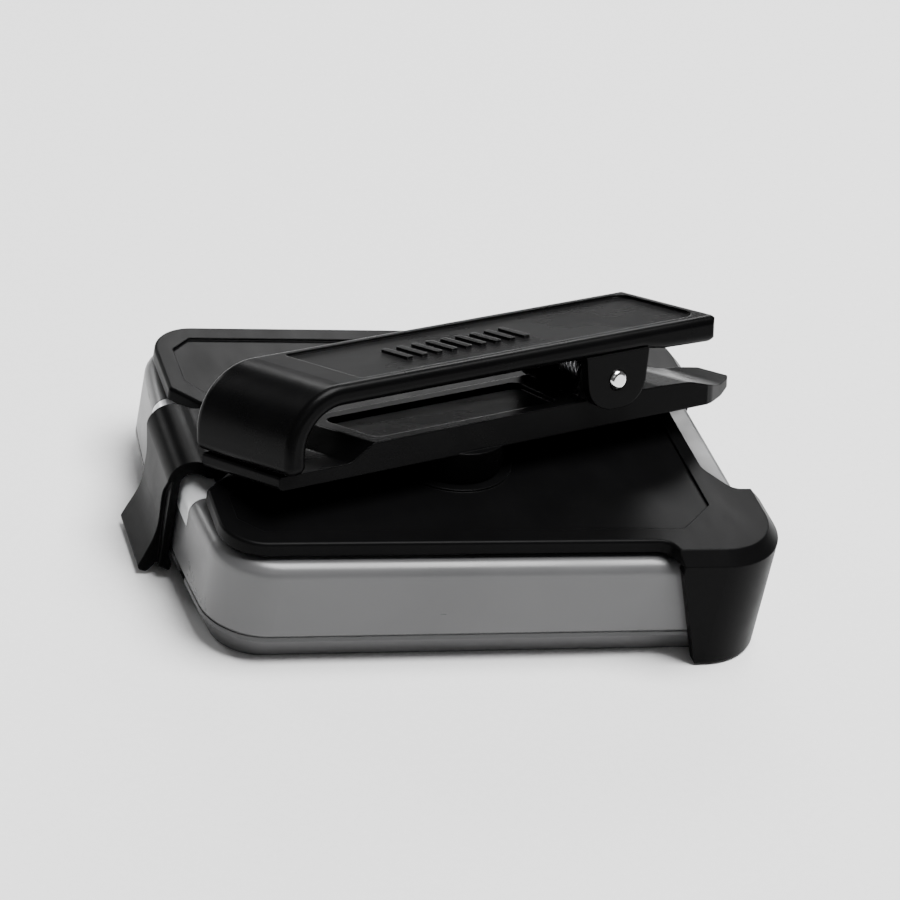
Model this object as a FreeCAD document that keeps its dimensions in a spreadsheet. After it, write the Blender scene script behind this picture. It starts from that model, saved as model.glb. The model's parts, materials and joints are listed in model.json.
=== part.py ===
import FreeCAD, Part
import os, math

os.makedirs("parts", exist_ok=True)
V = FreeCAD.Vector
Rot = FreeCAD.Rotation
Pl = FreeCAD.Placement

doc = FreeCAD.newDocument("pager")

# ------------------------------------------------------------------ dimensions (mm)
dims = doc.addObject("Spreadsheet::Sheet", "dims")
rows = [
    ("body_len", 86.0, "length of the pager case, lens end to key end"),
    ("body_wid", 62.0, "width of the case"),
    ("body_thk", 16.9, "thickness of the case"),
    ("dome_sag", 2.2, "how far the lens end bulges at mid width"),
    ("corner_rad", 9.0, "plan corner radius of the case"),
    ("front_ht", 4.8, "height of the front half"),
    ("bevel_in", 2.3, "inward reach of the front bevel"),
    ("bevel_up", 4.1, "height of the front bevel"),
    ("gasket_thk", 0.3, "visible gasket line"),
    ("wall", 1.9, "case wall"),
    ("roof", 1.5, "back wall thickness"),
    ("top_rad", 2.4, "edge radius round the back"),
    ("floor_thk", 1.9, "front wall thickness"),
    ("win_depth", 1.2, "window recess depth"),
    ("win_gap", 0.0, "window set back from the resting face"),
    ("key_gap", 0.2, "keys and strip set back from the resting face"),
    ("pcb_thk", 1.0, "board thickness"),
    ("pad_thk", 0.6, "grip pad thickness"),
    ("door_thk", 1.3, "battery door thickness"),
    ("plate_low", 17.8, "underside of the holster plate"),
    ("plate_thk", 2.0, "holster plate thickness"),
    ("plate_half", 29.0, "half width of the plate"),
    ("claw_thk", 2.0, "claw wall"),
    ("claw_gap", 0.15, "gap between case and claw"),
    ("claw_len", 18.0, "claw reach along the long side"),
    ("panel_depth", 0.35, "sunk panel on the plate"),
    ("latch_wid", 15.5, "latch arm width"),
    ("latch_mid", -1.75, "latch arm middle across the width"),
    ("clip_yaw", 17.6, "clip turned on its swivel at rest, degrees"),
    ("clip_cant", 16.0, "cant of the clip over its wedge foot, degrees"),
    ("clip_posx", -2.2, "swivel axis along the length"),
    ("clip_posy", -6.2, "swivel axis across the width"),
    ("clip_lift", 3.1, "clip base centre above the plate"),
    ("lever_wid", 18.8, "clip lever width"),
    ("clip_skew", 0.25, "how far the clip's ends slant, per unit of its width"),
    ("base_wid", 15.0, "clip base width"),
    ("pin_rad", 1.5, "clip pin radius"),
    ("pin_posx", 23.4, "clip pin along the clip"),
    ("pin_posz", 7.6, "clip pin above the clip base"),
    ("pin_len", 19.8, "clip pin length"),
    ("run_gap", 0.05, "radial clearance of a running fit"),
    ("stud_rad", 2.5, "swivel stud radius"),
    ("foot_rad", 8.2, "wedge foot radius"),
    ("foot_gap", 0.32, "washer space under the foot"),
    ("key_len", 10.0, "key length across the width"),
    ("key_wid", 5.0, "key width"),
]
for i, (name, val, note) in enumerate(rows, start=1):
    dims.set("A%d" % i, name)
    dims.set("B%d" % i, str(val))
    dims.setAlias("B%d" % i, name)
    dims.set("C%d" % i, note)
doc.recompute()


class Dm(object):
    pass


q = Dm()
for name, val, note in rows:
    setattr(q, name, float(val))

parts = []          # finished sub-parts, in export order


# ------------------------------------------------------------------ helpers
def num_or_expr(obj, prop, value):
    if isinstance(value, str):
        obj.setExpression(prop, value)
    else:
        parent = obj
        setattr(parent, prop, value)


def body(label):
    b = doc.addObject("PartDesign::Body", label)
    b.Label = label
    return b


def plane(b, role):
    for f in b.Origin.OriginFeatures:
        if f.Role == role:
            return f
    raise RuntimeError(role)


def rounded(pts):
    """closed chain of lines and arcs through (x, y) or (x, y, radius) points"""
    n = len(pts)
    P = [V(p[0], p[1], 0) for p in pts]
    Rr = [(p[2] if len(p) > 2 else 0.0) for p in pts]
    ends = []
    arcs = []
    for i in range(n):
        a, c, e = P[i - 1], P[i], P[(i + 1) % n]
        if Rr[i] <= 0:
            ends.append((c, c))
            arcs.append(None)
            continue
        d1 = (a - c).normalize()
        d2 = (e - c).normalize()
        ang = d1.getAngle(d2)
        t = Rr[i] / math.tan(ang / 2.0)
        s1 = c + d1 * t
        s2 = c + d2 * t
        bis = (d1 + d2).normalize()
        cen = c + bis * (Rr[i] / math.sin(ang / 2.0))
        mid = cen - bis * Rr[i]
        ends.append((s1, s2))
        arcs.append(Part.Arc(s1, mid, s2))
    geo = []
    for i in range(n):
        if arcs[i] is not None:
            geo.append(arcs[i])
        s = ends[i][1]
        e = ends[(i + 1) % n][0]
        if (s - e).Length > 1e-6:
            geo.append(Part.LineSegment(s, e))
    return geo


def sketch(b, name, loops, role="XY_Plane", off=None, offrot=None):
    """loops: lists of geometry; off: distance along the plane normal (number or expression)"""
    s = b.newObject("Sketcher::SketchObject", name)
    s.AttachmentSupport = [(plane(b, role), "")]
    s.MapMode = "FlatFace"
    if offrot is not None:
        s.AttachmentOffset = offrot
    if off is not None:
        if isinstance(off, str):
            s.setExpression("AttachmentOffset.Base.z", off)
        else:
            s.AttachmentOffset = Pl(V(0, 0, off), Rot())
    for geo in loops:
        s.addGeometry(geo, False)
    return s


def rect_sketch(b, name, x0, x1, y0, y1, role="XY_Plane", off=None):
    """rectangle held by its own dimensions"""
    X0, X1, Y0, Y1 = float(x0), float(x1), float(y0), float(y1)
    s = b.newObject("Sketcher::SketchObject", name)
    s.AttachmentSupport = [(plane(b, role), "")]
    s.MapMode = "FlatFace"
    if off is not None:
        if isinstance(off, str):
            s.setExpression("AttachmentOffset.Base.z", off)
        else:
            s.AttachmentOffset = Pl(V(0, 0, off), Rot())
    pts = [V(X0, Y0, 0), V(X1, Y0, 0), V(X1, Y1, 0), V(X0, Y1, 0)]
    for i in range(4):
        s.addGeometry(Part.LineSegment(pts[i], pts[(i + 1) % 4]), False)
    import Sketcher
    C = Sketcher.Constraint
    for i in range(4):
        s.addConstraint(C("Coincident", i, 2, (i + 1) % 4, 1))
    s.addConstraint(C("Horizontal", 0))
    s.addConstraint(C("Horizontal", 2))
    s.addConstraint(C("Vertical", 1))
    s.addConstraint(C("Vertical", 3))
    for nm, kind, g, vx, v in (("xa", "DistanceX", 0, 1, x0), ("ya", "DistanceY", 0, 1, y0),
                               ("xb", "DistanceX", 1, 2, x1), ("yb", "DistanceY", 1, 2, y1)):
        k = s.addConstraint(C(kind, -1, 1, g, vx, float(v)))
        s.renameConstraint(k, nm)
    return s


def pad(b, s, length, name, mid=False, rev=False):
    p = b.newObject("PartDesign::Pad", name)
    p.Profile = s
    num_or_expr(p, "Length", length)
    p.Midplane = mid
    p.Reversed = rev
    b.Tip = p
    s.Visibility = False
    doc.recompute()
    return p


def pocket(b, s, length, name, mid=False, rev=False, less=True):
    before = b.Shape.Volume
    p = b.newObject("PartDesign::Pocket", name)
    p.Profile = s
    num_or_expr(p, "Length", length)
    p.Midplane = mid
    p.Reversed = rev
    b.Tip = p
    doc.recompute()
    if abs(b.Shape.Volume - before) < 1e-3 and less:
        p.Reversed = not rev
        doc.recompute()
    if less and b.Shape.Volume >= before - 1e-3:
        raise RuntimeError("pocket removed nothing: " + name)
    return p


def pick(b, test):
    out = []
    for i, e in enumerate(b.Shape.Edges, start=1):
        if test(e):
            out.append("Edge%d" % i)
    return out


def fillet(b, edges, rad, name):
    tip = b.Tip
    f = b.newObject("PartDesign::Fillet", name)
    f.Base = (tip, edges)
    num_or_expr(f, "Radius", rad)
    b.Tip = f
    doc.recompute()
    return f


def vertical(e, lo=None, hi=None):
    c = e.Curve
    if not hasattr(c, "Direction"):
        return False
    if abs(abs(c.Direction.z) - 1) > 1e-6:
        return False
    return True


def at_z(e, z, tol=1e-4):
    bb = e.BoundBox
    return abs(bb.ZMin - z) < tol and abs(bb.ZMax - z) < tol


def done(obj):
    doc.recompute()
    for o in doc.Objects:
        if "Invalid" in o.State or "Error" in o.State:
            raise RuntimeError("bad feature %s in %s" % (o.Name, obj.Label))
    parts.append(obj)
    return obj


def circ(x, y, r):
    return [Part.Circle(V(x, y, 0), V(0, 0, 1), r)]


def prim(kind, label, pos=(0, 0, 0), rot=None, **kw):
    o = doc.addObject("Part::" + kind, label)
    for k, v in kw.items():
        num_or_expr(o, k, v)
    o.Placement = Pl(V(*[float(c) for c in pos]), rot or Rot())
    return o


def bind_z(o, expr):
    o.setExpression("Placement.Base.z", expr)


def case_outline(grow):
    """plan outline of the case: long sides, straight key end, bulged lens end"""
    hx = q.body_len / 2.0
    hy = q.body_wid / 2.0
    xl = -hx + q.dome_sag
    a = V(xl - grow, -hy - grow, 0)
    b_ = V(hx + grow, -hy - grow, 0)
    c = V(hx + grow, hy + grow, 0)
    d = V(xl - grow, hy + grow, 0)
    m = V(-hx - grow, 0, 0)
    return [Part.LineSegment(a, b_), Part.LineSegment(b_, c), Part.LineSegment(c, d), Part.Arc(d, m, a)]


HX = q.body_len / 2.0
HY = q.body_wid / 2.0
Z_BACK0 = q.front_ht + q.gasket_thk

# ------------------------------------------------------------------ front housing
fh = body("front_housing")
s = sketch(fh, "fh_outline", [case_outline(0.0)])
pad(fh, s, "dims.front_ht", "fh_block")
fillet(fh, pick(fh, vertical), "dims.corner_rad", "fh_corners")
# bevel all round the front face
tip = fh.Tip
low = pick(fh, lambda e: at_z(e, 0.0))
ch = fh.newObject("PartDesign::Chamfer", "fh_bevel")
ch.Base = (tip, low)
ch.ChamferType = "Two distances"
ch.setExpression("Size", "dims.bevel_in")
ch.setExpression("Size2", "dims.bevel_up")
fh.Tip = ch
doc.recompute()
bbf = [f.BoundBox for f in fh.Shape.Faces if abs(f.BoundBox.ZMax) < 1e-6][0]
if abs(bbf.YMax - (HY - q.bevel_in)) > 0.05:
    ch.FlipDirection = True
    doc.recompute()
bbf = [f.BoundBox for f in fh.Shape.Faces if abs(f.BoundBox.ZMax) < 1e-6][0]
print("front face half width", bbf.YMax)
fillet(fh, pick(fh, lambda e: at_z(e, 0.0)), 0.7, "fh_edge")
# hollow
inx = HX - 4.6
iny = HY - 4.6
cav = rounded([(-inx, -iny, 5.0), (inx, -iny, 5.0), (inx, iny, 5.0), (-inx, iny, 5.0)])
s = sketch(fh, "fh_cavity", [cav], off="dims.floor_thk")
pocket(fh, s, 10.0, "fh_hollow", rev=True)
# window recess and display opening
s = sketch(fh, "fh_window", [rounded([(-38.0, -26.0, 2.5), (26.4, -26.0, 2.5), (26.4, 26.0, 2.5), (-38.0, 26.0, 2.5)])])
pocket(fh, s, "dims.win_depth", "fh_window_recess")
s = rect_sketch(fh, "fh_display", -29.0, 17.0, -19.0, 19.0)
pocket(fh, s, "dims.floor_thk + 1", "fh_display_opening")
# key strip recess and three key openings
s = sketch(fh, "fh_strip", [rounded([(27.6, -26.0, 1.5), (38.6, -26.0, 4.0), (38.6, 26.0, 4.0), (27.6, 26.0, 1.5)])])
pocket(fh, s, "dims.win_depth", "fh_strip_recess")
KX = 33.1
KYS = (-14.3, 0.0, 14.3)
holes = []
for ky in KYS:
    holes.append(rounded([(KX - 2.75, ky - 5.25, 2.7), (KX + 2.75, ky - 5.25, 2.7), (KX + 2.75, ky + 5.25, 2.7), (KX - 2.75, ky + 5.25, 2.7)]))
s = sketch(fh, "fh_keys", holes)
pocket(fh, s, "dims.floor_thk + 1", "fh_key_openings")
# screw posts
SX, SY = 35.2, 23.2
s = sketch(fh, "fh_posts", [circ(x, y, 2.6) for x in (-SX, SX) for y in (-SY, SY)], off="dims.floor_thk - 0.3")
pad(fh, s, "dims.front_ht - dims.floor_thk + 0.3", "fh_screw_posts")
s = sketch(fh, "fh_post_holes", [circ(x, y, 0.8) for x in (-SX, SX) for y in (-SY, SY)], off="dims.front_ht")
pocket(fh, s, "dims.front_ht - dims.floor_thk", "fh_screw_holes")
# lanyard recess at the lens end
s = rect_sketch(fh, "fh_lanyard", -46.0, -39.0, -16.0, -10.6, off=2.2)
pocket(fh, s, 10.0, "fh_lanyard_recess", rev=True)
# bore seats for the lanyard bar
s = sketch(fh, "fh_bar_seat", [circ(-41.2, 3.6, 0.5)], role="XZ_Plane", off=9.4)
pocket(fh, s, 8.0, "fh_bar_bore", rev=True)
done(fh)

# ------------------------------------------------------------------ gasket
gk = body("case_gasket")
s = sketch(gk, "gk_outline", [case_outline(-0.12)], off="dims.front_ht")
pad(gk, s, "dims.gasket_thk", "gk_block")
fillet(gk, pick(gk, vertical), "dims.corner_rad - 0.12", "gk_corners")
s = sketch(gk, "gk_inner", [rounded([(-inx + 1.2, -iny - 1.6, 6.0), (inx + 1.6, -iny - 1.6, 6.0), (inx + 1.6, iny + 1.6, 6.0), (-inx + 1.2, iny + 1.6, 6.0)])], off="dims.front_ht - 1")
pocket(gk, s, 3.0, "gk_opening", rev=True)
s = rect_sketch(gk, "gk_lanyard", -46.0, -39.0, -16.0, -10.6, off="dims.front_ht - 1")
pocket(gk, s, 3.0, "gk_lanyard_gap", rev=True)
done(gk)

# ------------------------------------------------------------------ back housing
bh = body("back_housing")
s = sketch(bh, "bh_outline", [case_outline(0.0)], off="dims.front_ht + dims.gasket_thk")
pad(bh, s, "dims.body_thk - dims.front_ht - dims.gasket_thk", "bh_block")
fillet(bh, pick(bh, vertical), "dims.corner_rad", "bh_corners")
fillet(bh, pick(bh, lambda e: at_z(e, q.body_thk)), "dims.top_rad", "bh_top_edge")
bx = HX - q.wall - q.dome_sag
by = HY - q.wall
s = sketch(bh, "bh_cavity", [rounded([(-bx, -by, 7.0), (HX - q.wall, -by, 7.0), (HX - q.wall, by, 7.0), (-bx, by, 7.0)])], off="dims.front_ht + dims.gasket_thk")
pocket(bh, s, "dims.body_thk - dims.front_ht - dims.gasket_thk - dims.roof", "bh_hollow", rev=True)
# screw posts with counterbored holes
s = sketch(bh, "bh_posts", [circ(x, y, 2.9) for x in (-SX, SX) for y in (-SY, SY)], off="dims.front_ht + dims.gasket_thk")
pad(bh, s, "dims.body_thk - dims.front_ht - dims.gasket_thk - 0.6", "bh_screw_posts")
s = sketch(bh, "bh_post_holes", [circ(x, y, 0.95) for x in (-SX, SX) for y in (-SY, SY)], off="dims.body_thk + 1")
pocket(bh, s, 20.0, "bh_screw_holes")
s = sketch(bh, "bh_head_holes", [circ(x, y, 1.7) for x in (-SX, SX) for y in (-SY, SY)], off="dims.body_thk")
pocket(bh, s, 1.5, "bh_screw_heads")
# battery opening, door seat open at the key end
s = sketch(bh, "bh_door_seat", [rounded([(8.0, -15.0, 1.5), (50.0, -15.0), (50.0, 15.0), (8.0, 15.0, 1.5)])], off="dims.body_thk")
pocket(bh, s, "dims.door_thk", "bh_door_recess")
s = rect_sketch(bh, "bh_bay", 10.0, 39.0, -13.0, 13.0, off="dims.body_thk")
pocket(bh, s, 4.0, "bh_battery_bay")
# notch for the alert lens in the lens end's back edge
s = rect_sketch(bh, "bh_lens", -47.0, -37.95, -13.3, 13.3, off="dims.body_thk - 4.9")
pocket(bh, s, 8.0, "bh_lens_notch", rev=True)
# charging contact slots through the key end wall
s = sketch(bh, "bh_contacts", [rounded([(y - 1.25, 8.2, 0.6), (y + 1.25, 8.2, 0.6), (y + 1.25, 12.4, 0.6), (y - 1.25, 12.4, 0.6)]) for y in (-6.0, 0.0, 6.0)], role="YZ_Plane", off=48.0)
pocket(bh, s, 8.0, "bh_contact_slots")
done(bh)

# ------------------------------------------------------------------ battery door
bd = body("battery_door")
s = sketch(bd, "bd_outline", [rounded([(8.1, -14.9, 1.4), (43.0, -14.9, 0.6), (43.0, 14.9, 0.6), (8.1, 14.9, 1.4)])], off="dims.body_thk - dims.door_thk + 0.02")
pad(bd, s, "dims.door_thk - 0.02", "bd_block")
fillet(bd, pick(bd, lambda e: at_z(e, q.body_thk) and abs(e.CenterOfMass.x - 43.0) < 0.05), 1.1, "bd_end")
s = sketch(bd, "bd_ribs", [rounded([(x, -7.0, 0.3), (x + 0.8, -7.0, 0.3), (x + 0.8, 7.0, 0.3), (x, 7.0, 0.3)]) for x in (30.0, 32.0, 34.0, 36.0)], off="dims.body_thk")
pocket(bd, s, 0.35, "bd_grip_grooves")
done(bd)

# ------------------------------------------------------------------ window, strip, keys
fw = body("front_window")
s = sketch(fw, "fw_outline", [rounded([(-37.9, -25.9, 2.4), (26.3, -25.9, 2.4), (26.3, 25.9, 2.4), (-37.9, 25.9, 2.4)])], off="dims.win_gap")
pad(fw, s, "dims.win_depth - dims.win_gap - 0.02", "fw_block")
fillet(fw, pick(fw, lambda e: at_z(e, q.win_gap)), 0.3, "fw_edge")
done(fw)

ks = body("key_strip")
s = sketch(ks, "ks_outline", [rounded([(27.7, -25.9, 1.4), (38.5, -25.9, 3.9), (38.5, 25.9, 3.9), (27.7, 25.9, 1.4)])], off="dims.key_gap")
pad(ks, s, "dims.win_depth - dims.key_gap - 0.02", "ks_block")
khole = [rounded([(KX - 2.65, ky - 5.15, 2.6), (KX + 2.65, ky - 5.15, 2.6), (KX + 2.65, ky + 5.15, 2.6), (KX - 2.65, ky + 5.15, 2.6)]) for ky in KYS]
s = sketch(ks, "ks_holes", khole, off="dims.key_gap - 0.5")
pocket(ks, s, 3.0, "ks_key_holes", rev=True)
done(ks)

for label, ky in (("key_left", KYS[0]), ("key_middle", KYS[1]), ("key_right", KYS[2])):
    kb = body(label)
    w = q.key_wid / 2.0
    l = q.key_len / 2.0
    s = sketch(kb, label + "_top", [rounded([(KX - w, ky - l, w - 0.05), (KX + w, ky - l, w - 0.05), (KX + w, ky + l, w - 0.05), (KX - w, ky + l, w - 0.05)])], off="dims.key_gap")
    pad(kb, s, "dims.floor_thk - dims.key_gap + 0.9", label + "_stem")
    fillet(kb, pick(kb, lambda e: at_z(e, q.key_gap)), 0.5, label + "_edge")
    s = sketch(kb, label + "_rim", [rounded([(KX - w - 0.9, ky - l - 0.9, 2.0), (KX + w + 0.9, ky - l - 0.9, 2.0), (KX + w + 0.9, ky + l + 0.9, 2.0), (KX - w - 0.9, ky + l + 0.9, 2.0)])], off="dims.floor_thk + 0.05")
    pad(kb, s, 0.9, label + "_flange")
    done(kb)

# ------------------------------------------------------------------ display module
lcd = body("display_module")
s = rect_sketch(lcd, "lcd_outline", -33.0, 21.0, -21.5, 21.5, off="dims.floor_thk + 0.05")
pad(lcd, s, 2.6, "lcd_block")
s = rect_sketch(lcd, "lcd_step", -30.0, 18.0, -18.0, 18.0, off="dims.floor_thk + 0.05")
pocket(lcd, s, 0.5, "lcd_glass_step", rev=True)
done(lcd)

# ------------------------------------------------------------------ board
pcb = body("circuit_board")
s = rect_sketch(pcb, "pcb_outline", -38.0, 38.0, -26.0, 26.0, off=6.6)
pad(pcb, s, "dims.pcb_thk", "pcb_block")
s = sketch(pcb, "pcb_notches", [circ(x, y, 4.3) for x in (-SX, SX) for y in (-SY, SY)], off=6.0)
pocket(pcb, s, 3.0, "pcb_post_holes", rev=True)
# small packages soldered on the battery side
pk = [rounded([(x, y), (x + a, y), (x + a, y + b2), (x, y + b2)]) for (x, y, a, b2) in
      ((-8.0, 4.0, 7.0, 7.0), (-8.5, -6.0, 4.0, 5.0), (0.5, -18.0, 5.0, 4.0), (-16.0, 13.0, 3.2, 1.6), (-10.0, 14.0, 1.6, 3.2), (-4.0, 15.0, 1.6, 0.9), (0.0, 16.0, 1.6, 0.9))]
s = sketch(pcb, "pcb_chips", pk, off="6.6 + dims.pcb_thk")
pad(pcb, s, 1.1, "pcb_packages")
done(pcb)

sc = body("shield_can")
s = rect_sketch(sc, "sc_outline", -33.0, -12.0, -19.0, 0.5, off="6.62 + dims.pcb_thk")
pad(sc, s, 2.4, "sc_block")
fillet(sc, pick(sc, lambda e: at_z(e, 6.62 + q.pcb_thk + 2.4)), 0.5, "sc_edge")
s = sketch(sc, "sc_vents", [circ(x, y, 0.5) for x in (-30.0, -26.25, -22.5, -18.75, -15.0) for y in (-15.0, -9.25, -3.5)], off="9.02 + dims.pcb_thk")
pocket(sc, s, 0.6, "sc_vent_holes")
done(sc)

# ------------------------------------------------------------------ battery and its contacts
bt = body("battery")
s = sketch(bt, "bt_outline", [rounded([(11.0, -12.4, 1.2), (36.4, -12.4, 1.2), (36.4, 12.4, 1.2), (11.0, 12.4, 1.2)])], off=8.6)
pad(bt, s, 5.3, "bt_block")
fillet(bt, pick(bt, lambda e: at_z(e, 13.9) or at_z(e, 8.6)), 0.8, "bt_edges")
done(bt)

bc = body("battery_contacts")
s = sketch(bc, "bc_blades", [rounded([(9.2, y - 1.2), (10.9, y - 1.2), (10.9, y + 1.2), (9.2, y + 1.2)]) for y in (-6.0, 0.0, 6.0)], off="6.62 + dims.pcb_thk")
pad(bc, s, 4.6, "bc_block")
s = rect_sketch(bc, "bc_cut", 9.2, 10.5, -9.0, 9.0, off="7.4 + dims.pcb_thk")
pocket(bc, s, 6.0, "bc_bend", rev=True)
done(bc)

cc = body("charge_contacts")
s = sketch(cc, "cc_pads", [rounded([(y - 1.2, 8.25, 0.55), (y + 1.2, 8.25, 0.55), (y + 1.2, 12.35, 0.55), (y - 1.2, 12.35, 0.55)]) for y in (-6.0, 0.0, 6.0)], role="YZ_Plane", off=42.85)
pad(cc, s, 1.6, "cc_block", rev=True)
done(cc)

# ------------------------------------------------------------------ vibration motor and weight
vm = prim("Cylinder", "vibration_motor", pos=(-2.0, -21.6, 10.0), rot=Rot(V(0, 1, 0), 90), Radius=2.3, Height=9.0)
vs = prim("Cylinder", "vm_shaft", pos=(7.0, -21.6, 10.0), rot=Rot(V(0, 1, 0), 90), Radius=0.4, Height=4.2)
vmf = doc.addObject("Part::MultiFuse", "vibration_motor_f")
vmf.Shapes = [vm, vs]
vm.Label = "vm_can"
vmf.Label = "vibration_motor"
doc.recompute()
done(vmf)
vw = body("vibration_weight")
s = sketch(vw, "vw_half", [[Part.Arc(V(-23.75, 10.0, 0), V(-21.6, 12.15, 0), V(-19.45, 10.0, 0)), Part.LineSegment(V(-19.45, 10.0, 0), V(-20.4, 9.05, 0)), Part.LineSegment(V(-20.4, 9.05, 0), V(-22.8, 9.05, 0)), Part.LineSegment(V(-22.8, 9.05, 0), V(-23.75, 10.0, 0))]], role="YZ_Plane", off=7.5)
pad(vw, s, 3.6, "vw_block")
s = sketch(vw, "vw_bore", [circ(-21.6, 10.0, 0.45)], role="YZ_Plane", off=7.0)
pocket(vw, s, 6.0, "vw_shaft_hole", rev=True)
done(vw)

# ------------------------------------------------------------------ buzzer, antenna, alert lamp and lens
bz = body("buzzer")
s = sketch(bz, "bz_outline", [circ(-27.0, 11.5, 6.5)], off="6.62 + dims.pcb_thk")
pad(bz, s, 3.2, "bz_can")
s = sketch(bz, "bz_port", [circ(-27.0, 11.5, 1.0)], off="9.82 + dims.pcb_thk")
pocket(bz, s, 1.0, "bz_hole")
fillet(bz, pick(bz, lambda e: at_z(e, 9.82 + q.pcb_thk) and e.BoundBox.XLength > 5), 0.4, "bz_edge")
done(bz)

an = body("antenna")
s = rect_sketch(an, "an_core", -17.0, 26.0, 20.2, 25.2, off="6.62 + dims.pcb_thk")
pad(an, s, 3.0, "an_ferrite")
s = rect_sketch(an, "an_coil", -8.0, 17.0, 19.6, 25.8, off="6.62 + dims.pcb_thk")
pad(an, s, 3.6, "an_winding")
done(an)

led = body("alert_lamp")
s = rect_sketch(led, "led_body", -37.0, -35.0, -1.6, 1.6, off="6.62 + dims.pcb_thk")
pad(led, s, 2.4, "led_block")
s = sketch(led, "led_dome", [circ(0.0, 9.0, 1.0)], role="YZ_Plane", off=-37.0)
pad(led, s, 0.7, "led_lens", rev=True)
done(led)

al = body("alert_lens")
arc_r = (HY * HY + q.dome_sag * q.dome_sag) / (2.0 * q.dome_sag)
alx = -HX + arc_r - math.sqrt(arc_r * arc_r - 13.2 * 13.2)
lens_plan = [Part.Arc(V(alx, 13.2, 0), V(-HX, 0, 0), V(alx, -13.2, 0)), Part.LineSegment(V(alx, -13.2, 0), V(-38.0, -13.2, 0)),
             Part.LineSegment(V(-38.0, -13.2, 0), V(-38.0, 13.2, 0)), Part.LineSegment(V(-38.0, 13.2, 0), V(alx, 13.2, 0))]
s = sketch(al, "al_plan", [lens_plan], off="dims.body_thk - 4.85")
pad(al, s, 4.85, "al_block")
fillet(al, pick(al, lambda e: at_z(e, q.body_thk) and e.BoundBox.XMin < alx - 0.1), "dims.top_rad", "al_edge")
done(al)

# ------------------------------------------------------------------ lanyard bar, screws, grip pads
lb = prim("Cylinder", "lanyard_bar", pos=(-41.2, -9.6, 3.6), rot=Rot(V(1, 0, 0), 90), Radius=0.5, Height=7.4)
done(lb)

scr = []
for k, (x, y) in enumerate([(x, y) for x in (-SX, SX) for y in (-SY, SY)]):
    hd = prim("Cylinder", "screw_head_%d" % k, pos=(x, y, q.body_thk - 1.48), Radius=1.6, Height=1.2)
    sk = prim("Cylinder", "screw_shank_%d" % k, pos=(x, y, 2.2), Radius=0.8, Height=q.body_thk - 1.48 - 2.2)
    slot1 = prim("Box", "screw_slot_%d" % k, pos=(x - 1.1, y - 0.2, q.body_thk - 0.78), Length=2.2, Width=0.4, Height=1.0)
    slot2 = prim("Box", "screw_cross_%d" % k, pos=(x - 0.2, y - 1.1, q.body_thk - 0.78), Length=0.4, Width=2.2, Height=1.0)
    fu = doc.addObject("Part::MultiFuse", "screw_fuse_%d" % k)
    fu.Shapes = [hd, sk]
    sl = doc.addObject("Part::MultiFuse", "screw_drive_%d" % k)
    sl.Shapes = [slot1, slot2]
    cu = doc.addObject("Part::Cut", "screw_%d" % k)
    cu.Base = fu
    cu.Tool = sl
    scr.append(cu)
screws = doc.addObject("Part::Compound", "case_screws")
screws.Links = scr
screws.Label = "case_screws"
doc.recompute()
done(screws)

gp = body("grip_pads")
s = sketch(gp, "gp_outline", [rounded([(-37.5, sg * 13.0, 3.0), (-2.5, sg * 13.0, 3.0), (-2.5, sg * 28.0, 3.0), (-37.5, sg * 28.0, 3.0)]) for sg in (-1, 1)], off="dims.body_thk + 0.005")
pad(gp, s, "dims.pad_thk", "gp_block")
fillet(gp, pick(gp, lambda e: at_z(e, q.body_thk + 0.005 + q.pad_thk)), 0.3, "gp_edge")
s = sketch(gp, "gp_screw", [circ(-SX, y, 2.0) for y in (-SY, SY)], off="dims.body_thk - 1")
pocket(gp, s, 4.0, "gp_screw_holes", rev=True)
done(gp)

# ------------------------------------------------------------------ holster: plate and corner claws
ho = body("holster")
zt = q.plate_low + q.plate_thk
ow = HY + q.claw_gap + q.claw_thk          # outer half width over the claws
ox = HX + q.claw_gap + q.claw_thk          # outer end over the claws
cr = q.corner_rad + q.claw_gap + q.claw_thk
cx0 = ox - q.claw_len
ph = q.plate_half
LA0 = q.latch_mid - q.latch_wid / 2.0      # latch arm front edge
LA1 = q.latch_mid + q.latch_wid / 2.0      # latch arm back edge
ROOT = -36.5                               # latch root
plan = [(-41.0, -ph, 6.0), (cx0 - 1.8, -ph, 2.0), (cx0, -ow), (ox, -ow, cr), (ox, -15.6), (40.4, -15.6, 2.5),
        (37.2, -10.0, 4.0), (37.2, 10.0, 4.0), (40.4, 15.6, 2.5), (ox, 15.6), (ox, ow, cr), (cx0, ow), (cx0 - 1.8, ph, 2.0), (-41.0, ph, 7.0),
        (-41.0, LA1 + 5.6, 1.0), (ROOT, LA1 + 0.7, 0.6), (ROOT, LA0 - 0.7, 0.6), (-41.0, LA0 - 5.6, 1.0)]
s = sketch(ho, "ho_plan", [rounded(plan)], off="dims.plate_low")
pad(ho, s, "dims.plate_thk", "ho_plate")
for sg, nm in ((-1, "front"), (1, "rear")):
    wall = [(cx0, sg * ow), (ox, sg * ow, cr), (ox, sg * 15.6), (36.0, sg * 15.6), (cx0, sg * 24.0)]
    s = sketch(ho, "ho_wall_" + nm, [rounded(wall)], off=0.4)
    pad(ho, s, "dims.plate_low - 0.4 + 0.5", "ho_claw_" + nm)
g = q.claw_gap
s = sketch(ho, "ho_cavity", [rounded([(-60.0, -HY - g), (HX + g, -HY - g, q.corner_rad + g), (HX + g, HY + g, q.corner_rad + g), (-60.0, HY + g)])], off=1.3)
pocket(ho, s, "dims.plate_low - 1.3", "ho_case_space", rev=True)
s = sketch(ho, "ho_cavity_low", [rounded([(-60.0, -HY - g), (HX - 1.0, -HY - g, 8.2), (HX - 1.0, HY + g, 8.2), (-60.0, HY + g)])], off=0.0)
pocket(ho, s, 1.3, "ho_case_space_low", rev=True)


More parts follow.
